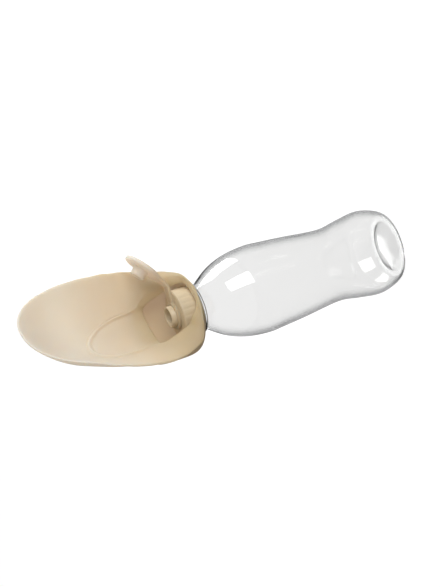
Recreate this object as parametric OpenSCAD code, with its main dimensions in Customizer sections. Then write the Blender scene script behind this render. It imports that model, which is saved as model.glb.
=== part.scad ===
// Dog travel water bottle: a clear contoured bottle that stands on its base, a screw cap with a
// pouring nozzle, a silicone leaf bowl held by the cap and a stopper lid on a silicone strap.
// The bottle axis is Z with the neck up, and the bowl opens towards +X. All sizes are in mm.

/* [Bottle] */
// Radius of the ring that the bottle stands on
foot_r = 22; // [19:0.5:24]
// Radius of the lower grip bulge
bulge_r = 33; // [31:0.5:35]
// Height at which that bulge is widest
bulge_z = 20; // [17:1:23]
// Radius of the waist between the two bulges
waist_r = 28.5; // [26:0.5:30]
// Height of the waist above the base
waist_z = 54; // [50:1:58]
// Radius of the main body above the waist
body_r = 34; // [32.5:0.5:36]
// Height at which the body is widest
body_z = 116; // [112:1:120]
// Thickness of the clear wall
bottle_wall = 1.2; // [0.8:0.1:2]
// Depth of the push-up under the base
pushup = 5; // [3:0.5:7]
// Outer radius of the neck
neck_r = 15; // [14:0.5:15.5]
// Height of the flange that the bowl is clamped on
flange_z = 164.5; // [163:0.5:166]
// Radius of that flange
flange_r = 18.5; // [18:0.5:19]
// Thickness of that flange
flange_t = 2; // [1.5:0.5:3]
// Length of the neck above the flange
neck_len = 12; // [11.6:0.2:12.6]

/* [Cap] */
// Height of the cap from its lower rim to its top face
cap_h = 13; // [12.4:0.2:13.6]
// Radius over the cap's grip
cap_r = 18.5; // [18:0.1:19]
// Thickness of the cap's top
cap_top = 2.4; // [2:0.2:3]
// Number of grip flutes round the cap
flutes = 24; // [12:2:30]
// Radius of the hole that the water pours through
pour_r = 6.5; // [5:0.5:7]
// Wall of the nozzle round that hole
nozzle_wall = 1.7; // [1.3:0.1:2]
// Height of the nozzle above the cap's top
nozzle_h = 6; // [5:0.5:7]

/* [Stopper] */
// Radius of the lid disc
lid_r = 15.2; // [14:0.2:15.6]
// Thickness of the lid disc
lid_t = 3.2; // [2:0.2:4]
// Length of the plug under the disc
plug_len = 6; // [4:0.5:7]
// Width of the strap that carries the lid
strap_w = 9.5; // [7:0.5:10]
// Thickness of the strap
strap_t = 2; // [1.6:0.2:2.4]
// Distance from the bottle axis to the bend of the strap
bend_r = 22.6; // [21:0.1:24]
// Height of that bend above the cap's top
bend_h = 4.2; // [3.8:0.1:4.4]
// Direction of the strap, turned from the bowl's open side
strap_dir = 46; // [34:1:48]
// How far the lid stands open as drawn, measured from shut
open_angle = 141; // [125:1:146]

/* [Bowl] */
// Thickness of the silicone sheet
sheet = 2.2; // [1.8:0.1:2.6]
// Thickness of the plate that the cap clamps
plate = 3; // [2.4:0.2:4]
// Widest half width of the leaf
leaf_w = 46.6; // [44:0.2:49]
// Distance from the clamped plate to the leaf's tip
leaf_len = 138.4; // [137:0.2:146]
// Height of the tip above the bottle axis
tip_rise = 36; // [32:0.5:42]
// Half width of the mouth over the well
mouth_w = 19.4; // [19.2:0.1:20.4]
// Length of the mouth over the well
mouth_len = 31.5; // [30:0.5:34]
// Radius of the round heel under the well
heel_r = 32.5; // [31:0.5:34]
// Length of the round heel along the axis
heel_len = 50; // [46:1:54]
// Half width of the tongue-shaped dish
tongue_w = 18; // [16:0.5:19]
// Height of the round lip at the dish
lip = 1.8; // [1:0.2:2.4]
// Half width of that lip
lip_w = 3.6; // [3:0.2:4.4]
// Depth of the dish below its ends
dip = 1.2; // [0.6:0.2:1.8]
// Length of the dish beyond the mouth
dish_len = 49; // [46:0.5:50]

/* [Hidden] */
$fn = 96;

// Clearances between pieces
neck_gap = 0.2;
thread_gap = 0.35;
nozzle_gap = 0.15;
plug_gap = 0.15;
bend_gap = 0.3;
lid_gap = 0.05;
cap_room = 0.6;

// Heights that follow from the stack on the neck
seat_z = flange_z + flange_t;
neck_top = seat_z + neck_len;
cap_z = seat_z + plate;
cap_top_z = cap_z + cap_h;
gasket_t = cap_top_z - cap_top - neck_top;
neck_wall = 2.4;
nozzle_r = pour_r + nozzle_wall;

// Smooth line through hand-set points
function blend4(a, b, c, d, t) = 0.5 * ((2 * b) + (c - a) * t
    + (2 * a - 5 * b + 4 * c - d) * t * t + (3 * b - a - 3 * c + d) * t * t * t);
function through(p, n) = [for (i = [0:len(p) - 2], k = [0:n - 1])
    blend4(p[max(i - 1, 0)], p[i], p[i + 1], p[min(i + 2, len(p) - 1)], k / n), p[len(p) - 1]];
function unit(v) = v / norm(v);
function mix(a, b, t) = a + (b - a) * t;

// Outer line of the bottle, from the standing ring up to the neck, as [radius, height]
bottle_line = through([[foot_r, 0], [mix(foot_r, bulge_r, 0.41), bulge_z * 0.05],
    [mix(foot_r, bulge_r, 0.77), bulge_z * 0.4], [bulge_r, bulge_z],
    [mix(bulge_r, waist_r, 0.45), mix(bulge_z, waist_z, 0.47)], [waist_r, waist_z],
    [mix(waist_r, body_r, 0.55), mix(waist_z, body_z, 0.48)],
    [mix(waist_r, body_r, 0.87), mix(waist_z, body_z, 0.8)], [body_r, body_z],
    [mix(body_r, neck_r, 0.1), mix(body_z, flange_z, 0.33)],
    [mix(body_r, neck_r, 0.35), mix(body_z, flange_z, 0.62)],
    [mix(body_r, neck_r, 0.69), mix(body_z, flange_z, 0.84)],
    [mix(body_r, neck_r, 0.97), flange_z - flange_t * 0.4], [neck_r, flange_z]], 4);

// The same line moved inwards by the wall
function inset(p, w) = [for (i = [0:len(p) - 1])
    let (d = unit(p[min(i + 1, len(p) - 1)] - p[max(i - 1, 0)])) [p[i][0] - w * d[1], p[i][1] + w * d[0]]];

module bottle() {
    color("lightblue")
    union() {
        rotate_extrude() polygon(concat(
            [[0, pushup], [foot_r * 0.45, pushup * 0.8], [foot_r - 3, 0.6], [foot_r - 1.5, 0]],
            bottle_line,
            [[neck_r, neck_top], [neck_r - neck_wall, neck_top], [neck_r - neck_wall, flange_z]],
            [for (i = [len(bottle_line) - 3:-1:3]) inset(bottle_line, bottle_wall)[i]],
            [[foot_r - 1.5, bottle_wall + 0.3], [foot_r - 3, bottle_wall + 0.9],
             [foot_r * 0.45, pushup * 0.8 + bottle_wall], [0, pushup + bottle_wall]]));
        translate([0, 0, flange_z])
        difference() {
            cylinder(r = flange_r, h = flange_t);
            translate([0, 0, -1]) cylinder(r = neck_r - 0.5, h = flange_t + 2);
        }
    }
}

module cap_gasket() {
    color("white")
    translate([0, 0, neck_top])
    difference() {
        cylinder(r = neck_r - 0.2, h = gasket_t);
        translate([0, 0, -1]) cylinder(r = pour_r + 0.5, h = gasket_t + 2);
    }
}

module cap() {
    color("tan")
    difference() {
        union() {
            translate([0, 0, cap_z]) cylinder(r = cap_r, h = cap_h - 1);
            translate([0, 0, cap_top_z - 1]) cylinder(r1 = cap_r, r2 = cap_r - 1, h = 1);
            translate([0, 0, cap_top_z - 1]) cylinder(r = nozzle_r, h = nozzle_h + 1);
        }
        translate([0, 0, cap_z - 1]) cylinder(r = neck_r + thread_gap, h = cap_h - cap_top + 1);
        translate([0, 0, cap_z]) cylinder(r = pour_r, h = cap_h + nozzle_h + 1);
        for (i = [0:flutes - 1]) rotate(i * 360 / flutes)
            translate([cap_r + 1, 0, cap_z - 1]) cylinder(r = 1.5, h = cap_h - 1.5);
    }
}

// The strap and the lid share this frame: X points outwards along the strap, Z is the bottle axis
bend_z = cap_top_z + bend_h;
bend_pin = 1;
ring_r = nozzle_r + 2.6;
ring_h = 2.4;

module stopper_ring() {
    color("burlywood")
    rotate(strap_dir) difference() {
        union() {
            translate([0, 0, cap_top_z]) cylinder(r = ring_r, h = ring_h);
            translate([0, -strap_w / 2, cap_top_z]) cube([bend_r, strap_w, strap_t]);
            translate([bend_r, 0, bend_z]) rotate([90, 0, 0])
                cylinder(r = bend_pin, h = strap_w, center = true);
            translate([bend_r - bend_pin, -strap_w / 2, cap_top_z])
                cube([2 * bend_pin, strap_w, bend_z - cap_top_z]);
        }
        translate([0, 0, cap_top_z - 1]) cylinder(r = nozzle_r + nozzle_gap, h = ring_h + 2);
    }
}

// Height of the lid's lower face above the strap's bend while it is shut
lid_drop = cap_top_z + nozzle_h + lid_gap - bend_z;

module stopper() {
    color("wheat")
    rotate(strap_dir) translate([bend_r, 0, bend_z]) rotate([0, open_angle, 0])
    difference() {
        union() {
            translate([-bend_r, 0, lid_drop]) cylinder(r = lid_r - 0.8, h = lid_t);
            translate([-bend_r, 0, lid_drop + lid_t / 2]) rotate_extrude() intersection() {
                translate([lid_r - lid_t / 2, 0]) circle(r = lid_t / 2);
                square([lid_r + 1, lid_t], center = false);
            }
            translate([-bend_r, 0, lid_drop - plug_len])
                cylinder(r1 = pour_r - 1.1, r2 = pour_r - plug_gap, h = plug_len);
            translate([-bend_r, 0, lid_drop - 0.01]) cylinder(r = pour_r - plug_gap, h = 1);
            translate([0, 0, lid_drop]) linear_extrude(lid_t * 0.8) hull() {
                translate([-bend_r, 0]) circle(r = lid_r - 1);
                translate([-2 * bend_pin, -strap_w / 2]) square([bend_pin, strap_w]);
            }
            translate([-bend_pin - strap_t, -strap_w / 2, -0.8])
                cube([strap_t, strap_w, lid_drop + 1.8]);
        }
        translate([-bend_r, 0, lid_drop - plug_len - 2]) cylinder(r = pour_r - 2.6, h = plug_len + 1);
        rotate([90, 0, 0]) cylinder(r = bend_pin + bend_gap, h = strap_w + 2, center = true);
    }
}

// The bowl is a loft of ribs that run out from the bottom of the round heel: up its inner wall,
// along the hood to the mouth, over the upper face to the rim and back below to the heel's
// outer wall. A row holds Y, X and Z of the mouth's edge, of the line through the dish's lip and
// of the rim, counted from the clamped plate, then how far the rib bulges up outside the lip.
mouth_z = 4.6;
dish_z = mouth_z + mouth_len;
ribs = [
    [0, 24.6, mouth_z + 0.6, 0, 25.6, 4.4, 0, 26.4, 3.2, 0],
    [9.5, 24.4, mouth_z + 0.8, 11, 25.2, 5, 13.4, 25.2, 4.4, 0.2],
    [14.8, 21.8, mouth_z + 3, 17.4, 21.4, 7, 22.8, 19.6, 6, 0.4],
    [17.8, 18.4, mouth_z + 6.5, 22, 17.2, 10.2, 31.2, 12.6, 8.2, 1.2],
    [mouth_w, 13, mouth_z + 10, 24.6, 12.8, 13.9, 36.2, 9.6, 11.8, 1.5],
    [mouth_w, 8.1, mouth_z + 17, 25.4, 9.4, 21, leaf_w - 7, 8.6, 19.2, 1.2],
    [mouth_w, 4, mouth_z + 24, 25, 6.2, 29.2, leaf_w - 3.2, 9.2, 29.8, 0.6],
    [mouth_w - 0.4, 0.4, dish_z - 2.2, 20.8, 0.6, 36, leaf_w - 1.4, 11, 40, 0.4],
    [mouth_w - 2.6, -2, dish_z - 0.2, tongue_w + 0.4, -2.8, 46, leaf_w - 0.8, 13.6, 50, -0.6],
    [mouth_w - 6, -3.2, dish_z, tongue_w, -4.6, 58, leaf_w - 2, 17.8, 66, -2.2],
    [mouth_w - 9.4, -4, dish_z, tongue_w - 3.2, -6, 70, leaf_w - 5, 22.8, 83, -3.8],
    [mouth_w - 12.4, -4.4, dish_z, tongue_w - 8.4, -7, dish_z + dish_len * 0.89, leaf_w - 10, 28.2, 100, -5.6],
    [mouth_w - 14.8, -4.6, dish_z, tongue_w - 12.2, -7.2, dish_z + dish_len * 0.96, leaf_w - 15.6, 31.2, 115.8, -7],
    [mouth_w - 16.6, -4.7, dish_z, 3.6, -7.2, dish_z + dish_len * 0.988, leaf_w - 24, 33.8, 128.2, -8.2],
    [mouth_w - 18, -4.7, dish_z, 1.8, -7.2, dish_z + dish_len * 0.998, leaf_w - 34.6, 35.4, 136, -9],
    [0, -4.7, dish_z, 0, -7.2, dish_z + dish_len, 0, tip_rise, leaf_len, -9.4]];
steps = 2;
// The ribs go on as their mirror images past both ends, so that the outline stays round there
function across(r) = [for (k = [0:9]) k % 3 == 0 && k < 9 ? -r[k] : r[k]];
all_ribs = concat([across(ribs[1])], ribs, [across(ribs[len(ribs) - 2])]);
rows = concat([for (i = [1:len(ribs) - 1], k = [0:steps - 1])
    blend4(all_ribs[i - 1], all_ribs[i], all_ribs[i + 1], all_ribs[i + 2], k / steps)], [ribs[len(ribs) - 1]]);
half = len(rows) - 1;

// A point of the sheet: s is 0 at the mouth, 1 under the lip and 2 at the rim
function inner_run(r) = norm([r[4] - r[1], r[3] - r[0], r[5] - r[2]]);
function outer_run(r) = norm([r[7] - r[4], r[6] - r[3], r[8] - r[5]]);
function base(r, s) = s <= 1
    ? let (d = dip * min(1, max(0, r[5] - r[2] - 4) / 20))
      [mix(r[1], r[4], s) - d * sin(180 * s), mix(r[0], r[3], s), mix(r[2], r[5], s)]
    : let (v = s - 1) [mix(r[4], r[7], v) + 4 * r[9] * v * (1 - v), mix(r[3], r[6], v), mix(r[5], r[8], v)];
// The upper face adds the round lip, which fades out beside the mouth
function face(r, s) = let (w = (s < 1 ? (1 - s) * inner_run(r) : (s - 1) * outer_run(r)) / lip_w,
    g = lip * min(1, max(0, (r[5] - dish_z + 4) / 12)))
    base(r, s) + [w < 1 ? g * (1 + cos(180 * w)) / 2 : 0, 0, 0];
// A point sunk below the sheet's base by d, square to the run of its rib
function square_to(v) = let (u = unit(v)) unit([1, 0, 0] - u[0] * u);
function sunk(i, s, d) = let (r = rows[i], v = max(0, s - 1), t = min(1, v / 0.3),
    a = square_to([r[4] - r[1], r[3] - r[0], r[5] - r[2]]),
    b = square_to([r[7] - r[4] + 4 * r[9] * (1 - 2 * v), r[6] - r[3], r[8] - r[5]]))
    base(r, s) - d * unit(mix(a, b, t));

// The heel is a swollen dome round the well. The size of a point is 1 on its wall.
heel_n = 4;
heel_mid = heel_len / 2;
function swell(p, d) = pow(norm([p[0], p[1]]) / (heel_r - d), heel_n)
    + pow(abs(p[2] - heel_mid) / (heel_mid - d), heel_n);
// Where a rib, sunk by d, meets the wall of the heel
function meets(i, d, w, lo, hi, k) = let (m = (lo + hi) / 2) k == 0 ? m
    : swell(sunk(i, m, d), w) > 1 ? meets(i, d, w, lo, m, k - 1) : meets(i, d, w, m, hi, k - 1);
// The heel's wall from its lowest point up to the point p of a rib
function wall_to(p, w, n) = let (v = p - [0, 0, heel_mid], flat = norm([v[1], v[2]]),
    rise = atan2(v[0], flat), stretch = 1 / pow(swell(p, w), 1 / heel_n))
    [for (k = [0:n - 1]) let (e = mix(-90, rise, k / n),
        q = [sin(e), cos(e) * v[1] / flat, cos(e) * v[2] / flat],
        size = pow(swell(q + [0, 0, heel_mid], w), -1 / heel_n))
        [0, 0, heel_mid] + q * size * mix(1, 1 / stretch, pow(k / n, 3))];

wall_n = 7;
hood_n = 3;
deck_n = 6;
wing_n = 8;
below_n = 9;
function back_list(v) = [for (k = [len(v) - 1:-1:0]) v[k]];
function rib(i) = let (
    sh = max(0.08, meets(i, sheet, sheet, 0, 2, 9)), sj = max(sh + 0.05, meets(i, sheet, 0, 0, 1.9, 9)),
    hood = [for (k = [0:hood_n]) sunk(i, sh * (1 - k / hood_n), sheet)],
    under = [for (k = [0:below_n]) sunk(i, mix(2, sj, k / below_n), sheet)],
    qa = min(0.3, lip_w / 2 / inner_run(rows[i])), qb = min(0.15, lip_w / 2 / outer_run(rows[i])),
    nose = unit(face(rows[i], 0.1) - face(rows[i], 0)), edge = unit(face(rows[i], 2) - face(rows[i], 1.9)))
    concat(wall_to(hood[0], sheet, wall_n), hood,
        [(face(rows[i], 0) + hood[hood_n]) / 2 - nose * sheet * 0.35],
        [for (k = [0:deck_n]) face(rows[i], k < deck_n - 2 ? (1 - 2 * qa) * k / (deck_n - 2) : 1 - qa * (deck_n - k))],
        [for (k = [1:wing_n]) face(rows[i], 1 + (k < 3 ? k * qb : mix(2 * qb, 1, (k - 2) / (wing_n - 2))))],
        [(face(rows[i], 2) + under[0]) / 2 + edge * sheet * 0.35],
        under, back_list(wall_to(under[below_n], 0, wall_n)));

module loft() {
    right = [for (i = [0:half]) rib(i)];
    loops = concat(right, [for (i = [half - 1:-1:1]) [for (p = right[i]) [p[0], -p[1], p[2]]]]);
    n = len(loops[0]);
    m = len(loops);
    function id(i, j) = j == 0 ? 0 : j == n - 1 ? n - 1 : (i % m) * n + j;
    faces = [for (i = [0:m - 1], j = [0:n - 2], h = [0, 1])
        if (!(h == 0 && j == n - 2) && !(h == 1 && j == 0)) h == 0
            ? [id(i, j), id(i + 1, j + 1), id(i, j + 1)]
            : [id(i, j), id(i + 1, j), id(i + 1, j + 1)]];
    polyhedron(points = [for (l = loops) each l], faces = faces, convexity = 8);
}

module bowl() {
    color("bisque") translate([0, 0, seat_z]) difference() {
        union() {
            loft();
            cylinder(r = flange_r, h = plate);
        }
        translate([0, 0, -1]) cylinder(r = neck_r + neck_gap, h = plate + 2);
        translate([0, 0, plate]) cylinder(r = cap_r + cap_room, h = cap_h * 0.45);
    }
}

bottle();
cap_gasket();
cap();
bowl();
stopper_ring();
stopper();
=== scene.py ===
import math

import bmesh
import bpy
from mathutils import Matrix, Vector, noise


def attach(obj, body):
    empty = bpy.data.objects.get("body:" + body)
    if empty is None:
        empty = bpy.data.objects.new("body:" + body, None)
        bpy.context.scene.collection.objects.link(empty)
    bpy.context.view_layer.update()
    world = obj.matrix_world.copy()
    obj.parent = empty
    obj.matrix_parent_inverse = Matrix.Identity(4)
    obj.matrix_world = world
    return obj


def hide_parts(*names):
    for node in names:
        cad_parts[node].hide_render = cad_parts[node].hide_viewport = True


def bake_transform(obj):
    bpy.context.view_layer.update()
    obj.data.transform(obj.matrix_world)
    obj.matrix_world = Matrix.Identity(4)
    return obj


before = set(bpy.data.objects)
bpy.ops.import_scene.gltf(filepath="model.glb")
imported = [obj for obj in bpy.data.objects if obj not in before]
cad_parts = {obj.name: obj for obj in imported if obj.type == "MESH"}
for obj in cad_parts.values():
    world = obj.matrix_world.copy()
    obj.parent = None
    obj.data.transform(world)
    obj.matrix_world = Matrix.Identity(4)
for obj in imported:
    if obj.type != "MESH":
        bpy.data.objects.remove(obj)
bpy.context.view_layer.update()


# Camera
# The view is down on the leaf from its open side, with the bottle running to the right across the
# picture, so the camera is rolled until the bottle's axis lies along the frame. Lengths in metres.
towards_camera = Vector((0.75, -0.56, 0.34)).normalized()
picture_right = Vector((0.074, -0.442, -0.894))
picture_right = (picture_right - picture_right.dot(towards_camera) * towards_camera).normalized()
picture_up = towards_camera.cross(picture_right)
middle_of_bottle = Vector((0, 0, 0.0758))
looked_at = middle_of_bottle - 0.0625 * picture_right - 0.015 * picture_up
camera_distance = 1.5
picture_height = 0.4461
sensor_mm = 36
camera = bpy.data.objects.new("camera", bpy.data.cameras.new("camera"))
camera.data.sensor_width = sensor_mm
camera.data.lens = sensor_mm * camera_distance / picture_height
camera_turn = Matrix((picture_right, picture_up, towards_camera)).transposed().to_4x4()
camera.matrix_world = Matrix.Translation(looked_at + camera_distance * towards_camera) @ camera_turn
bpy.context.collection.objects.link(camera)
bpy.context.scene.camera = camera


# Bottle
# A clear copolyester bottle, stretch blown: thin wavy walls with a waist to grip, a base pushed
# up inside its standing ring, and a stiff moulded neck with a carrying flange and a thread. Radii
# first, then heights, in millimetres like every size below.
MM = 0.001
FOOT, BULGE, WAIST, BODY, FLANGE, NECK = 22, 33, 28.5, 34, 18.5, 15
PUSH_UP, BULGE_Z, WAIST_Z, BODY_Z, FLANGE_Z, SEAT_Z, NECK_TOP = 5, 20, 54, 116, 164.5, 166.5, 178.5
BOTTLE_WALL, NECK_WALL, SOFT_EDGE, THREAD_PITCH = 1.2, 2.4, 0.4, 3


def glide(a, b, c, d, t):
    """A point between b and c on the smooth line through a, b, c and d."""
    return [0.5 * (2 * q + (r - p) * t + (2 * p - 5 * q + 4 * r - s) * t * t
                   + (3 * q - p - 3 * r + s) * t ** 3) for p, q, r, s in zip(a, b, c, d)]


def smooth_line(points, steps):
    """The points of a smooth line through given ones."""
    last = len(points) - 1
    line = []
    for i in range(last):
        four = points[max(i - 1, 0)], points[i], points[i + 1], points[min(i + 2, last)]
        line += [glide(*four, k / steps) for k in range(steps)]
    return line + [list(points[last])]


def offset_line(line, depth):
    """A [radius, height] line moved inwards by depth."""
    moved = []
    for i, (r, z) in enumerate(line):
        before, after = line[max(i - 1, 0)], line[min(i + 1, len(line) - 1)]
        run = Vector((after[0] - before[0], after[1] - before[1])).normalized()
        moved.append([r - depth * run.y, z + depth * run.x])
    return moved


def turned(bm, profile, segments, close=False):
    """Spins a [radius, height] profile in millimetres all the way round Z."""
    verts = [bm.verts.new((r * MM, 0, z * MM)) for r, z in profile]
    pairs = list(zip(verts, verts[1:] + verts[:1] if close else verts[1:]))
    edges = [bm.edges.new(pair) for pair in pairs]
    bmesh.ops.spin(bm, geom=verts + edges, cent=(0, 0, 0), axis=(0, 0, 1), angle=math.tau,
                   steps=segments, use_merge=True)
    bmesh.ops.remove_doubles(bm, verts=bm.verts[:], dist=1e-6)
    bmesh.ops.recalc_face_normals(bm, faces=bm.faces[:])


def helix(bm, radius, start, pitch, turns, depth, height):
    """A screw ridge round Z, standing depth out from radius, or in where depth is negative."""
    per_turn, root, crest = 72, 0.25, (0.36, 0.64)
    steps = int(per_turn * turns)
    out = radius + depth
    sunk = radius - root * math.copysign(1, depth)
    corners = [(sunk, 0), (radius, 0), (out, crest[0] * height), (out, crest[1] * height),
               (radius, height), (sunk, height)]
    verts = [bm.verts.new((r * MM, 0, (start + z) * MM)) for r, z in corners]
    first = bm.faces.new(verts)
    made = bmesh.ops.spin(bm, geom=[first], cent=(0, 0, 0), axis=(0, 0, 1), angle=math.tau * turns,
                          dvec=(0, 0, pitch * MM / per_turn), steps=steps)
    last = [v for v in made["geom_last"] if isinstance(v, bmesh.types.BMVert)]
    # Both ends of the ridge run out flush with the wall.
    for end in (verts, last):
        for v in end:
            r = math.hypot(v.co.x, v.co.y)
            if abs(r - radius * MM) > 1e-6 and (r - radius * MM) * depth > 0:
                v.co.x *= radius * MM / r
                v.co.y *= radius * MM / r
    bmesh.ops.recalc_face_normals(bm, faces=bm.faces[:])


def piece_from(bm, name):
    """An object at the origin that holds a finished bmesh."""
    mesh = bpy.data.meshes.new(name)
    bm.to_mesh(mesh)
    bm.free()
    piece = bpy.data.objects.new(name, mesh)
    bpy.context.collection.objects.link(piece)
    return piece


def carve(piece, tool, operation):
    """Joins the tool to the piece, or cuts it away, and drops the tool."""
    cut = piece.modifiers.new("carve", "BOOLEAN")
    cut.operation, cut.solver, cut.object = operation, "EXACT", tool
    bake(piece)
    bpy.data.objects.remove(tool)


def bake(piece):
    """Makes the piece's live modifiers part of its mesh."""
    bpy.context.view_layer.update()
    finished = piece.evaluated_get(bpy.context.evaluated_depsgraph_get())
    mesh = bpy.data.meshes.new_from_object(finished)
    old = piece.data
    piece.modifiers.clear()
    piece.data = mesh
    bpy.data.meshes.remove(old)


def shade(piece, sharp_degrees):
    """Smooth shading that breaks where faces meet more sharply than the angle."""
    piece.data.shade_smooth()
    piece.data.set_sharp_from_angle(angle=math.radians(sharp_degrees))


def between(a, b, share):
    """The value that lies that share of the way from a to b."""
    return a + (b - a) * share


bottle_side = smooth_line([
    (FOOT, 0), (between(FOOT, BULGE, 0.41), 1), (between(FOOT, BULGE, 0.77), 8), (BULGE, BULGE_Z),
    (between(BULGE, WAIST, 0.45), between(BULGE_Z, WAIST_Z, 0.47)), (WAIST, WAIST_Z),
    (between(WAIST, BODY, 0.55), between(WAIST_Z, BODY_Z, 0.48)),
    (between(WAIST, BODY, 0.87), between(WAIST_Z, BODY_Z, 0.8)), (BODY, BODY_Z),
    (between(BODY, NECK, 0.1), between(BODY_Z, FLANGE_Z, 0.33)),
    (between(BODY, NECK, 0.35), between(BODY_Z, FLANGE_Z, 0.62)),
    (between(BODY, NECK, 0.69), between(BODY_Z, FLANGE_Z, 0.84)),
    (between(BODY, NECK, 0.97), FLANGE_Z - 0.8), (NECK, FLANGE_Z)], steps=6)
# The last steps of the wall's inside give way to the thicker neck.
steps_in_neck, lowest_inside = 8, 1.6
inner_side = [point for point in offset_line(bottle_side, BOTTLE_WALL) if point[1] > lowest_inside]
inner_side = inner_side[:-steps_in_neck]
base_below = [(0, PUSH_UP), (4, PUSH_UP - 0.1), (9.9, PUSH_UP - 1), (15, 2.2), (19, 0.6), (20.5, 0)]
base_above = [(20.5, 1.5), (19, 1.7), (15, 3.2), (9.9, PUSH_UP + 0.2), (4, PUSH_UP + 1.1),
              (0, PUSH_UP + BOTTLE_WALL)]
neck_side = [
    (FLANGE - SOFT_EDGE, FLANGE_Z), (FLANGE, FLANGE_Z + SOFT_EDGE), (FLANGE, SEAT_Z - SOFT_EDGE),
    (FLANGE - SOFT_EDGE, SEAT_Z), (NECK + 0.3, SEAT_Z), (NECK, SEAT_Z + 0.3),
    (NECK, NECK_TOP - 0.6), (NECK - 0.6, NECK_TOP), (NECK - NECK_WALL + SOFT_EDGE, NECK_TOP),
    (NECK - NECK_WALL, NECK_TOP - SOFT_EDGE), (NECK - NECK_WALL, FLANGE_Z - 0.5)]
bm = bmesh.new()
turned(bm, base_below + bottle_side + neck_side + inner_side[::-1] + base_above, segments=144)
bottle = piece_from(bm, "bottle_blown")
bm = bmesh.new()
helix(bm, radius=NECK, start=SEAT_Z + 4.2, pitch=THREAD_PITCH, turns=1.8, depth=0.9, height=1.5)
carve(bottle, piece_from(bm, "neck_thread"), "UNION")
shade(bottle, sharp_degrees=32)


class Wire:
    """A number on a shader's wire. Python's operators add the Math nodes."""

    def __init__(self, socket):
        self.socket = socket

    def maths(self, operation, *values):
        return add_node(self.socket.id_data, "ShaderNodeMath", {"operation": operation}, values)

    def __add__(self, other):
        return self.maths("ADD", self, other)

    def __mul__(self, other):
        return self.maths("MULTIPLY", self, other)

    __radd__, __rmul__ = __add__, __mul__

    def ramp(self, low, high):
        """0 at low and before it, 1 at high and past it, and smooth between them."""
        return add_node(self.socket.id_data, "ShaderNodeMapRange",
                        {"interpolation_type": "SMOOTHSTEP"},
                        {"Value": self, "From Min": low, "From Max": high})

    def colours(self, first, second):
        """A colour that runs from the first to the second as the number goes from 0 to 1."""
        return add_node(self.socket.id_data, "ShaderNodeMix", {"data_type": "RGBA"},
                        {0: self, 6: first, 7: second}, output=2)


def add_node(tree, kind, settings=None, values=(), output=0):
    """Adds one node: its settings first, then the values or wires of its sockets."""
    node = tree.nodes.new(kind)
    for key, value in (settings or {}).items():
        setattr(node, key, value)
    for key, value in (values.items() if isinstance(values, dict) else enumerate(values)):
        if isinstance(value, Wire):
            tree.links.new(value.socket, node.inputs[key])
        elif isinstance(value, tuple) and len(value) == 3 and node.inputs[key].type == "RGBA":
            node.inputs[key].default_value = (*value, 1)
        else:
            node.inputs[key].default_value = value
    return Wire(node.outputs[output])


def new_material(name):
    """A new material, its tree and the Principled shader that it starts with."""
    material = bpy.data.materials.new(name)
    material.use_nodes = True
    return material, material.node_tree, material.node_tree.nodes["Principled BSDF"]


def place(tree, scale=(1, 1, 1)):
    """Object coordinates, stretched by scale."""
    where = add_node(tree, "ShaderNodeTexCoord", output=3)
    return add_node(tree, "ShaderNodeMapping", None, {"Vector": where, "Scale": scale})


def cloudy(tree, where, scale, detail=2.0, roughness=0.5):
    """Soft noise from 0 to 1; scale counts its patches in a metre."""
    return add_node(tree, "ShaderNodeTexNoise", None,
                    {"Vector": where, "Scale": scale, "Detail": detail, "Roughness": roughness})


def bumped(tree, shader, height, distance):
    """Lets a height from 0 to 1 raise the surface by distance metres."""
    bump = add_node(tree, "ShaderNodeBump", None,
                    {"Height": height, "Distance": distance, "Strength": 1.0})
    tree.links.new(bump.socket, shader.inputs["Normal"])


def surfaced(tree, shader, colour, roughness):
    """Wires a varying colour and roughness to the shader."""
    tree.links.new(colour.socket, shader.inputs["Base Color"])
    tree.links.new(roughness.socket, shader.inputs["Roughness"])


# Clear where it is looked at squarely, and greyer edge-on, where the view runs along the wall.
# That edge-on grey is painted shade.
clear, painted_edge_shade = (0.965, 0.965, 0.962), (0.25, 0.26, 0.27)
clear_plastic, tree, shader = new_material("clear_plastic")
edge_on = add_node(tree, "ShaderNodeLayerWeight", None, {"Blend": 0.5}, output=1).ramp(0.4, 0.97)
shader.inputs["Transmission Weight"].default_value = 1
shader.inputs["IOR"].default_value = 1.5
wavy = cloudy(tree, place(tree, (1, 1, 0.45)), scale=34, detail=1.5)
scuffs = cloudy(tree, place(tree), scale=900, detail=3.0, roughness=0.7).ramp(0.62, 0.78)
surfaced(tree, shader, edge_on.colours(clear, painted_edge_shade), 0.008 + scuffs * 0.05)
bumped(tree, shader, wavy, distance=0.0009)
bottle.data.materials.clear()
bottle.data.materials.append(clear_plastic)
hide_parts("bottle")
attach(bottle, "bottle")


# Gasket
# A soft white washer, cut from foamed sheet, pushed up inside the cap so that it seals the rim
# of the neck.
POUR, GASKET_T = 6.5, 1.6
gasket_hole, gasket_rim, gasket_top, cut_edge = POUR + 0.5, NECK - 0.2, NECK_TOP + GASKET_T, 0.15
bm = bmesh.new()
turned(bm, [(gasket_hole, NECK_TOP + cut_edge), (gasket_hole + cut_edge, NECK_TOP),
            (gasket_rim - cut_edge, NECK_TOP), (gasket_rim, NECK_TOP + cut_edge),
            (gasket_rim, gasket_top - cut_edge), (gasket_rim - cut_edge, gasket_top),
            (gasket_hole + cut_edge, gasket_top), (gasket_hole, gasket_top - cut_edge)],
       segments=96, close=True)
gasket = piece_from(bm, "gasket_washer")
shade(gasket, sharp_degrees=35)
foam_sheet, tree, shader = new_material("white_foam_sheet")
pores = cloudy(tree, place(tree), scale=1500)
surfaced(tree, shader, pores.colours((0.74, 0.72, 0.67), (0.84, 0.83, 0.79)), 0.62 + pores * 0.2)
bumped(tree, shader, pores, distance=0.00008)
gasket.data.materials.append(foam_sheet)
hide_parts("cap_gasket")
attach(gasket, "seal")


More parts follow.
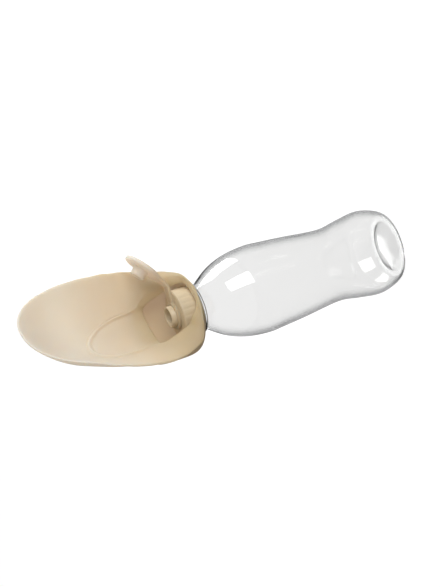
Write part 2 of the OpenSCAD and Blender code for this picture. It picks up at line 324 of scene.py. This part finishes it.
# Screw cap
# One beige polypropylene moulding: a fluted skirt with its thread inside, a flat top, and a
# pouring nozzle with a rounded mouth standing up from it.
CAP_R, NOZZLE_R, BORE = 18.5, 8.2, NECK + 0.35
CAP_Z, CAP_TOP, NOZZLE_TOP = 169.5, 182.5, 188.5
FLUTES, FLUTE_DEPTH, FLUTE_LOW, FLUTE_HIGH, FLUTE_FADE = 24, 0.22, CAP_Z + 0.7, CAP_TOP - 1.2, 1.5
skirt_side = [(BORE, CAP_Z + 0.5), (BORE + 0.5, CAP_Z), (CAP_R - 0.5, CAP_Z),
              (CAP_R - 0.1, CAP_Z + 0.4)]
skirt_side += [(CAP_R, CAP_Z + 0.8 + 0.8 * k) for k in range(14)]
skirt_side += [(CAP_R - 0.2, CAP_TOP - 0.6), (CAP_R - 1, CAP_TOP)]
nozzle_side = [
    (NOZZLE_R + 1, CAP_TOP), (NOZZLE_R + 0.2, CAP_TOP + 0.3), (NOZZLE_R, CAP_TOP + 1),
    (NOZZLE_R - 0.1, NOZZLE_TOP - 0.7), (NOZZLE_R - 0.4, NOZZLE_TOP - 0.2),
    (NOZZLE_R - 0.8, NOZZLE_TOP), (POUR + 0.4, NOZZLE_TOP), (POUR + 0.1, NOZZLE_TOP - 0.2),
    (POUR, NOZZLE_TOP - 0.6), (POUR, gasket_top), (BORE, gasket_top)]
bm = bmesh.new()
turned(bm, skirt_side + nozzle_side, segments=288, close=True)
# The grip flutes are pressed into the straight of the skirt, and run out below its top edge.
for v in bm.verts:
    r = math.hypot(v.co.x, v.co.y) / MM
    z = v.co.z / MM
    if r > CAP_R - 0.15 and FLUTE_LOW < z < FLUTE_HIGH:
        flute = max(0, math.cos(FLUTES * math.atan2(v.co.y, v.co.x))) ** 0.7
        fade = min(1, (FLUTE_HIGH - z) / FLUTE_FADE)
        v.co.x *= 1 - FLUTE_DEPTH * flute * fade / r
        v.co.y *= 1 - FLUTE_DEPTH * flute * fade / r
cap = piece_from(bm, "cap_moulding")
bm = bmesh.new()
helix(bm, radius=BORE, start=CAP_Z + 2.4, pitch=THREAD_PITCH, turns=2, depth=-0.28, height=1.4)
carve(cap, piece_from(bm, "cap_thread"), "UNION")
shade(cap, sharp_degrees=34)
cap_plastic, tree, shader = new_material("cap_plastic")
where = place(tree)
mottle = cloudy(tree, where, scale=60, detail=3.0)
grain = cloudy(tree, where, scale=2600)
surfaced(tree, shader, mottle.colours((0.62, 0.50, 0.33), (0.67, 0.55, 0.37)), 0.34 + grain * 0.18)
bumped(tree, shader, grain, distance=0.00003)
cap.data.materials.append(cap_plastic)
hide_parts("cap")
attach(cap, "head")


# Leaf bowl
# One soft silicone moulding, about 2 mm thick. A swollen round heel is clamped between the
# bottle's flange and the cap and holds a deep well. Its hood runs out into a long leaf, with a
# tongue-shaped dish inside a round lip.
SHEET, LEAF_W, LEAF_LEN, TIP_RISE = 2.2, 46.6, 138.4, 36
MOUTH_W, MOUTH_Z, DISH_Z, TONGUE_W, DISH_LEN = 19.4, 4.6, 36.1, 18, 49
HEEL_R, HEEL_MID, HEEL_N = 32.5, 25, 4
LIP, LIP_W, DIP, ROLL, ROLL_W = 2, 2.8, 1.2, 2.4, 6
# Each row runs from the mouth of the well over the lip to the rim. It holds Y, X and Z of these
# three, with Z from the top of the neck's flange, and how far the leaf bulges from lip to rim.
leaf_rows = [
    (0, 24.6, MOUTH_Z + 0.6, 0, 25.6, 4.4, 0, 26.4, 3.2, 0),
    (9.5, 24.4, MOUTH_Z + 0.8, 11, 25.2, 5, 13.4, 25.2, 4.4, 0.2),
    (14.8, 21.8, MOUTH_Z + 3, 17.4, 21.4, 7, 22.8, 19.6, 6, 0.4),
    (17.8, 18.4, MOUTH_Z + 6.5, 22, 17.2, 10.2, 31.2, 12.6, 8.2, 1.2),
    (MOUTH_W, 13, MOUTH_Z + 10, 24.6, 12.8, 13.9, 36.2, 9.6, 11.8, 1.5),
    (MOUTH_W, 8.1, MOUTH_Z + 17, 25.4, 9.4, 21, LEAF_W - 7, 8.6, 19.2, 1.2),
    (MOUTH_W, 4, MOUTH_Z + 24, 24, 6, 29.2, LEAF_W - 3.2, 9.2, 29.8, 0.6),
    (MOUTH_W - 0.4, 0.4, DISH_Z - 2.2, 19.8, 0.2, 36.6, LEAF_W - 1.4, 11, 40, 0.4),
    (MOUTH_W - 2.6, -2, DISH_Z - 0.2, TONGUE_W - 0.8, -3, 46, LEAF_W - 0.8, 13.6, 50, -0.6),
    (MOUTH_W - 6, -3.2, DISH_Z, TONGUE_W - 0.8, -4.7, 58, LEAF_W - 2, 17.8, 66, -2.2),
    (MOUTH_W - 9.4, -4, DISH_Z, TONGUE_W - 3.2, -6, 70, LEAF_W - 5, 22.8, 83, -3.8),
    (MOUTH_W - 12.4, -4.4, DISH_Z, TONGUE_W - 8.4, -7, DISH_Z + 43.6,
     LEAF_W - 10, 28.2, 100, -5.6),
    (MOUTH_W - 14.8, -4.6, DISH_Z, TONGUE_W - 12.2, -7.2, DISH_Z + 47,
     LEAF_W - 15.6, 31.2, 115.8, -7),
    (MOUTH_W - 16.6, -4.7, DISH_Z, 3.6, -7.2, DISH_Z + 48.4, LEAF_W - 24, 33.8, 128.2, -8.2),
    (MOUTH_W - 18, -4.7, DISH_Z, 1.8, -7.2, DISH_Z + 48.9, LEAF_W - 34.6, 35.4, 136, -9),
    (0, -4.7, DISH_Z, 0, -7.2, DISH_Z + DISH_LEN, 0, TIP_RISE, LEAF_LEN, -9.4)]
rows_between = 3


def mirrored(row):
    """The row on the other side of the leaf."""
    return [-value if k % 3 == 0 and k < 9 else value for k, value in enumerate(row)]


ends = [mirrored(leaf_rows[1])] + leaf_rows + [mirrored(leaf_rows[-2])]
fine_rows = [glide(*ends[i - 1:i + 3], k / rows_between)
             for i in range(1, len(leaf_rows)) for k in range(rows_between)] + [list(leaf_rows[-1])]


def corner(row, which):
    """The mouth, lip or rim point of a row."""
    y, x, z = row[3 * which:3 * which + 3]
    return Vector((x, y, z))


def sheet_base(row, s):
    """The sheet without its lip: s is 0 at the mouth, 1 at the lip and 2 at the rim."""
    mouth, middle, rim = (corner(row, k) for k in range(3))
    no_hollow, full_hollow = 4, 24
    if s <= 1:
        # The dish sinks a little between mouth and lip, more where the two are further apart.
        grown = max(0, middle.z - mouth.z - no_hollow) / (full_hollow - no_hollow)
        hollow = DIP * min(1, grown)
        rolled = ROLL * max(0, 1 - s * (middle - mouth).length / ROLL_W) ** 2
        return mouth.lerp(middle, s) - Vector((hollow * math.sin(math.pi * s) + rolled, 0, 0))
    v = s - 1
    return middle.lerp(rim, v) + Vector((4 * row[9] * v * (1 - v), 0, 0))


def lip_runs(row):
    """How long the row is inside and outside the lip."""
    mouth, middle, rim = (corner(row, k) for k in range(3))
    return (middle - mouth).length, (rim - middle).length


def sheet_top(row, s):
    """The sheet's upper face, with the round lip on it."""
    inside, outside = lip_runs(row)
    away = (1 - s) * inside if s < 1 else (s - 1) * outside
    lip_z, lip_begins, lip_grows = row[5], 3, 16
    height = LIP * min(1, max(0, (lip_z - DISH_Z - lip_begins) / lip_grows))
    bead = height * (1 + math.cos(math.pi * away / LIP_W)) / 2 if away < LIP_W else 0
    return sheet_base(row, s) + Vector((bead, 0, 0))


def square_to(run):
    """The direction square to a run that points most nearly along +X."""
    run = run.normalized()
    return (Vector((1, 0, 0)) - run.x * run).normalized()


def sheet_below(row, s, depth):
    """A point sunk into the sheet, square to the run of its row."""
    mouth, middle, rim = (corner(row, k) for k in range(3))
    v = max(0, s - 1)
    inner = square_to(middle - mouth)
    outer = square_to(rim - middle + Vector((4 * row[9] * (1 - 2 * v), 0, 0)))
    return sheet_base(row, s) - depth * inner.lerp(outer, min(1, v / 0.3)).normalized()


def swell(point, inset):
    """The size of a point in the round heel: 1 on its wall, moved in by inset."""
    return ((math.hypot(point.x, point.y) / (HEEL_R - inset)) ** HEEL_N
            + (abs(point.z - HEEL_MID) / (HEEL_MID - inset)) ** HEEL_N)


def meets(row, depth, inset, low, high):
    """Where the sheet, at that depth, runs into the heel's wall."""
    for _ in range(12):
        middle = (low + high) / 2
        if swell(sheet_below(row, middle, depth), inset) > 1:
            high = middle
        else:
            low = middle
    return (low + high) / 2


def heel_wall(point, inset, count):
    """Points up the heel's wall from its lowest point, ending before the given one."""
    centre = Vector((0, 0, HEEL_MID))
    way = point - centre
    flat = math.hypot(way.y, way.z)
    rise = math.atan2(way.x, flat)
    grow = swell(point, inset) ** (1 / HEEL_N)
    wall = []
    for k in range(count):
        angle = -math.pi / 2 + (rise + math.pi / 2) * k / count
        level = math.cos(angle)
        q = Vector((math.sin(angle), level * way.y / flat, level * way.z / flat))
        size = swell(q + centre, inset) ** (-1 / HEEL_N)
        wall.append(centre + q * size * (1 + (grow - 1) * (k / count) ** 3))
    return wall


def rounded_edge(start, end, outwards):
    """Three points that round the edge of the sheet between its two faces."""
    return [start.lerp(end, share) + outwards * SHEET * reach
            for share, reach in ((0.18, 0.25), (0.5, 0.36), (0.82, 0.25))]


def leaf_rib(row):
    """One closed section: up the well, out along the hood, over the leaf and back below it."""
    hood_steps, under_steps, outer_steps, wall_steps = 3, 9, 6, 8
    inside, outside = lip_runs(row)
    well = max(0.08, meets(row, SHEET, SHEET, 0, 2))
    back = max(well + 0.05, meets(row, SHEET, 0, 0, 1.9))
    hood = [sheet_below(row, well * (1 - k / hood_steps), SHEET) for k in range(hood_steps + 1)]
    under = [sheet_below(row, 2 + (back - 2) * k / under_steps, SHEET)
             for k in range(under_steps + 1)]
    # The stops crowd together over the lip, between near before it and far beyond it.
    near, far = min(0.45, LIP_W * 1.15 / inside), min(0.3, LIP_W * 1.15 / outside)
    stops = [0.02, 0.3 * (1 - near), 0.68 * (1 - near)]
    stops += [1 - near * k for k in (1, 0.75, 0.5, 0.25, 0)]
    stops += [1 + far * k for k in (0.25, 0.5, 0.75, 1)]
    stops += [1 + far + (0.98 - far) * k / outer_steps for k in range(1, outer_steps + 1)]
    top = [sheet_top(row, s) for s in stops]
    nose = (sheet_top(row, 0.1) - sheet_top(row, 0)).normalized()
    edge = (sheet_top(row, 2) - sheet_top(row, 1.9)).normalized()
    nosing = rounded_edge(hood[-1], sheet_top(row, 0), -nose)
    edging = rounded_edge(sheet_top(row, 2), under[0], edge)
    return (heel_wall(hood[0], SHEET, wall_steps) + hood + nosing + top + edging + under
            + heel_wall(under[-1], 0, wall_steps)[::-1])


def ripple(point):
    """The slight unevenness that a thin soft rim has where nothing holds it."""
    held_half, free_over, held_height, wave, lift, pull = 26, 20, 14, 9, 1.1, 0.9
    side = math.copysign(1, point.y)
    free = (min(1, max(0, (abs(point.y) - held_half) / free_over)) ** 2
            * min(1, max(0, (point.z - held_height) / held_height)))
    swing = noise.noise(Vector((point.z / wave, 7 * side, 0)))
    return Vector((lift * free * swing, -pull * free * abs(swing) * side, 0))


ribs = [leaf_rib(row) for row in fine_rows]
ribs += [[Vector((p.x, -p.y, p.z)) for p in rib] for rib in ribs[-2:0:-1]]
stations = len(ribs[0])
bm = bmesh.new()
bmesh.ops.create_grid(bm, x_segments=stations - 1, y_segments=len(ribs), size=0.1)
bm.verts.ensure_lookup_table()
for i in range(len(ribs) + 1):
    for j, point in enumerate(ribs[i % len(ribs)]):
        bm.verts[i * stations + j].co = (point + ripple(point) + Vector((0, 0, SEAT_Z))) * MM
bmesh.ops.remove_doubles(bm, verts=bm.verts[:], dist=2e-6)
bmesh.ops.recalc_face_normals(bm, faces=bm.faces[:])
bowl = piece_from(bm, "leaf_bowl")
rounding = bowl.modifiers.new("rounding", "SUBSURF")
rounding.levels = rounding.render_levels = 2
bake(bowl)


def drum(name, radius, low, high):
    """A plain round plug between two heights, to join or cut with."""
    bm = bmesh.new()
    turned(bm, [(0, low), (radius, low), (radius, high), (0, high)], segments=96)
    return piece_from(bm, name)


# The clamped plate, the hole that the neck comes through, and room for the skirt of the cap.
CAP_ROOM = 5.85
carve(bowl, drum("plate", FLANGE, SEAT_Z, CAP_Z), "UNION")
carve(bowl, drum("neck_hole", NECK + 0.2, SEAT_Z - 2, CAP_Z + 2), "DIFFERENCE")
carve(bowl, drum("cap_room", CAP_R + 0.6, CAP_Z, CAP_Z + CAP_ROOM), "DIFFERENCE")
shade(bowl, sharp_degrees=50)


def silicone(name, darker, lighter, painted_shade, low, high):
    """Satin silicone that drifts between two shades, with painted shade deepening it to a third
    from high to low.
    """
    material, tree, shader = new_material(name)
    shader.inputs["Subsurface Weight"].default_value = 1
    shader.inputs["Subsurface Radius"].default_value = (1.0, 0.8, 0.6)
    shader.inputs["Subsurface Scale"].default_value = 0.0045
    where = place(tree)
    drift = cloudy(tree, where, scale=22).ramp(0.3, 0.7)
    bloom = cloudy(tree, where, scale=240, detail=3.0)
    fine = cloudy(tree, where, scale=4200, roughness=0.6)
    height = add_node(tree, "ShaderNodeSeparateXYZ", None, {"Vector": where}, output=2)
    # Painted shade: from high down to low the colour deepens towards the third, darkening the lower
    # parts.
    tone_and_painted_shade = (height.ramp(high, low) * 0.9).colours(drift.colours(darker, lighter), painted_shade)
    surfaced(tree, shader, tone_and_painted_shade, 0.46 + bloom * 0.12)
    bumped(tree, shader, fine * 0.6 + bloom * 0.4, distance=0.00006)
    # Silicone lets a share of the light pass through to its other side.
    light_passed = 0.35
    passed = add_node(tree, "ShaderNodeBsdfTranslucent", None, {"Color": (0.96, 0.90, 0.81)})
    both = add_node(tree, "ShaderNodeMixShader", None,
                    {0: light_passed, 1: Wire(shader.outputs[0]), 2: passed})
    tree.links.new(both.socket, tree.nodes["Material Output"].inputs["Surface"])
    return material


# The third colour is painted shade that darkens the heel from its top down.
bowl.data.materials.append(silicone(
    "bowl_silicone", darker=(0.77, 0.715, 0.645), lighter=(0.81, 0.765, 0.70),
    painted_shade=(0.585, 0.465, 0.265), low=0.185, high=0.275))
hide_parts("bowl")
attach(bowl, "head")


# Stopper
# One silicone moulding: a ring that grips the nozzle, a flat strap that bends up out of the
# well, and a round lid with a hollow tapered plug below it.
STRAP_DIR, OPEN = math.radians(46), math.radians(141)
RING_IN, RING_OUT, RING_TOP, RING_EDGE = NOZZLE_R + 0.15, 10.8, CAP_TOP + 2.4, 0.3
BEND_R, BEND_Z, STRAP_W, STRAP_T, TAB_T = 22.6, 186.7, 9.5, 2, 2.5
LID_R, LID_T, LID_REACH, LID_DROP, PLUG = 14.6, 3.2, 21.2, 1.85, 6.5
bm = bmesh.new()
turned(bm, [(RING_IN, CAP_TOP + RING_EDGE), (RING_IN + RING_EDGE, CAP_TOP),
            (RING_OUT - RING_EDGE, CAP_TOP), (RING_OUT, CAP_TOP + RING_EDGE),
            (RING_OUT, RING_TOP - 0.5), (RING_OUT - 0.5, RING_TOP),
            (RING_IN + 0.5, RING_TOP), (RING_IN, RING_TOP - 0.5)], segments=96, close=True)
stopper = piece_from(bm, "stopper_moulding")

# The lid is turned about its own axis, and then put where the bent strap holds it open.
lid_frame = (Matrix.Rotation(STRAP_DIR, 4, "Z") @ Matrix.Translation((BEND_R * MM, 0, BEND_Z * MM))
             @ Matrix.Rotation(OPEN, 4, "Y")
             @ Matrix.Translation((-LID_REACH * MM, 0, LID_DROP * MM)))
lid_side = [(0, LID_T - 0.5), (LID_R - 4, LID_T - 0.5), (LID_R - 3.2, LID_T - 0.15),
            (LID_R - 2.2, LID_T), (LID_R - 1.2, LID_T), (LID_R - 0.4, LID_T - 0.4),
            (LID_R, LID_T / 2 + 0.2), (LID_R, LID_T / 2 - 0.2), (LID_R - 0.4, 0.4),
            (LID_R - 1.2, 0)]
plug_side = [(POUR + 0.6, 0), (POUR - 0.15, -0.5), (POUR - 0.3, -1.2), (POUR - 0.75, -3.5),
             (POUR - 0.9, -5.2), (POUR - 1.3, -5.8), (POUR - 1.9, -PLUG)]
plug_hollow = [(POUR - 2.6, -PLUG + 0.3), (POUR - 2.6, -2), (POUR - 3.4, -1.2), (0, -1)]
bm = bmesh.new()
turned(bm, lid_side + plug_side + plug_hollow, segments=128)
bm.transform(lid_frame)
carve(stopper, piece_from(bm, "lid"), "UNION")

# The strap runs flat over the ring, bends, and widens into a tab under the lid.
flat_run = ((9.4, 1.05), (13, 1.0), (17, 1.0), (20.4, 1.05), (22.8, 1.3))
tab_run = ((18.8, 5.2), (16.4, 6.6), (13.6, 8.6), (10.6, 10.4), (7.5, 11.4))
out = Vector((math.cos(STRAP_DIR), math.sin(STRAP_DIR), 0))
across = Vector((-out.y, out.x, 0))


def along_strap(radius, rise):
    """The point that far out from the axis along the strap's way, and that far above the cap."""
    return out * radius * MM + Vector((0, 0, (CAP_TOP + rise) * MM))


strap_points = [(*along_strap(r, rise), STRAP_W / 2, STRAP_T / 2) for r, rise in flat_run]
strap_points += [(*(lid_frame @ Vector((reach * MM, 0, TAB_T / 2 * MM))), half_width, TAB_T / 2)
                 for reach, half_width in tab_run]
strap_line = smooth_line(strap_points, steps=5)
round_share, flattening, softness = 0.12, 2.4, 0.8
bm = bmesh.new()
loops = []
for i, (x, y, z, half_width, half_thick) in enumerate(strap_line):
    before, after = strap_line[max(i - 1, 0)], strap_line[min(i + 1, len(strap_line) - 1)]
    along = (Vector(after[:3]) - Vector(before[:3])).normalized()
    turn = Matrix((across, along.cross(across), along)).transposed().to_4x4()
    at_end = i in (0, len(strap_line) - 1)
    ring = bmesh.ops.create_circle(bm, cap_ends=at_end, segments=40, radius=1)["verts"]
    for v in ring:
        side = math.copysign(max(0, abs(v.co.x) - round_share) / (1 - round_share), v.co.x)
        face = math.copysign(min(1, abs(v.co.y) * flattening) ** softness, v.co.y)
        v.co = ((side * (half_width - half_thick) + v.co.x * half_thick) * MM,
                face * half_thick * MM, 0)
    bmesh.ops.transform(bm, matrix=Matrix.Translation((x, y, z)) @ turn, verts=ring)
    edges = {e for v in ring for e in v.link_edges if e.other_vert(v) in ring}
    if loops:
        bmesh.ops.bridge_loops(bm, edges=list(loops[-1] | edges))
    loops.append(edges)
bmesh.ops.recalc_face_normals(bm, faces=bm.faces[:])
carve(stopper, piece_from(bm, "strap"), "UNION")
shade(stopper, sharp_degrees=42)
# The third colour is painted shade that darkens the stopper's lower parts.
stopper.data.materials.append(silicone(
    "stopper_silicone", darker=(0.86, 0.775, 0.685), lighter=(0.89, 0.81, 0.725),
    painted_shade=(0.62, 0.50, 0.33), low=0.185, high=0.2))
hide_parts("stopper_ring", "stopper")
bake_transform(stopper)


# Studio
# A pale table and soft white light from all round, with a broad lamp on the side that the leaf
# opens to, one at its far side and a weaker one behind.
FLOOR_DROP = 0.0003
bm = bmesh.new()
bmesh.ops.create_grid(bm, x_segments=1, y_segments=1, size=6)
floor = piece_from(bm, "floor")
floor.location.z = -FLOOR_DROP
table_top = bpy.data.materials.new("pale_table")
table_top.use_nodes = True
tree = table_top.node_tree
tree.nodes.clear()


def light_path(tree):
    """1 for what the camera sees straight, and 1 for what it sees through clear plastic."""
    return (add_node(tree, "ShaderNodeLightPath", output=0),
            add_node(tree, "ShaderNodeLightPath", output=6))


seen, through = light_path(tree)
paint = add_node(tree, "ShaderNodeBsdfDiffuse", None, {"Color": (0.26, 0.26, 0.26)})
glow = add_node(tree, "ShaderNodeEmission", None,
                {"Color": (1, 1, 1), "Strength": seen * 0.9 + through * 0.7})
both = add_node(tree, "ShaderNodeAddShader", None, (paint, glow))
output = tree.nodes.new("ShaderNodeOutputMaterial")
tree.links.new(both.socket, output.inputs["Surface"])
floor.data.materials.append(table_top)

world = bpy.data.worlds.new("studio")
bpy.context.scene.world = world
world.use_nodes = True
tree = world.node_tree
tree.nodes.clear()
seen, through = light_path(tree)
surround = add_node(tree, "ShaderNodeBackground", None,
                    {"Color": (1, 1, 1), "Strength": 0.4 + (seen + through) * 0.6})
output = tree.nodes.new("ShaderNodeOutputWorld")
tree.links.new(surround.socket, output.inputs["Surface"])


def softbox(name, position, aim, size, watts):
    """A square lamp at a position, facing its aim."""
    lamp = bpy.data.lights.new(name, "AREA")
    lamp.size, lamp.energy = size, watts
    holder = bpy.data.objects.new(name, lamp)
    facing = (Vector(aim) - Vector(position)).to_track_quat("-Z", "Y")
    holder.matrix_world = Matrix.Translation(position) @ facing.to_matrix().to_4x4()
    bpy.context.collection.objects.link(holder)


softbox("open_side", (1.12, -0.05, 0.36), aim=(0, 0, 0.24), size=0.7, watts=8)
softbox("far_side", (0.35, 1.05, 0.35), aim=(0, 0, 0.22), size=0.7, watts=7)
softbox("behind", (-0.85, 0.5, 0.6), aim=(0, 0, 0.22), size=0.7, watts=3.6)
bpy.context.scene.view_settings.view_transform = "Standard"
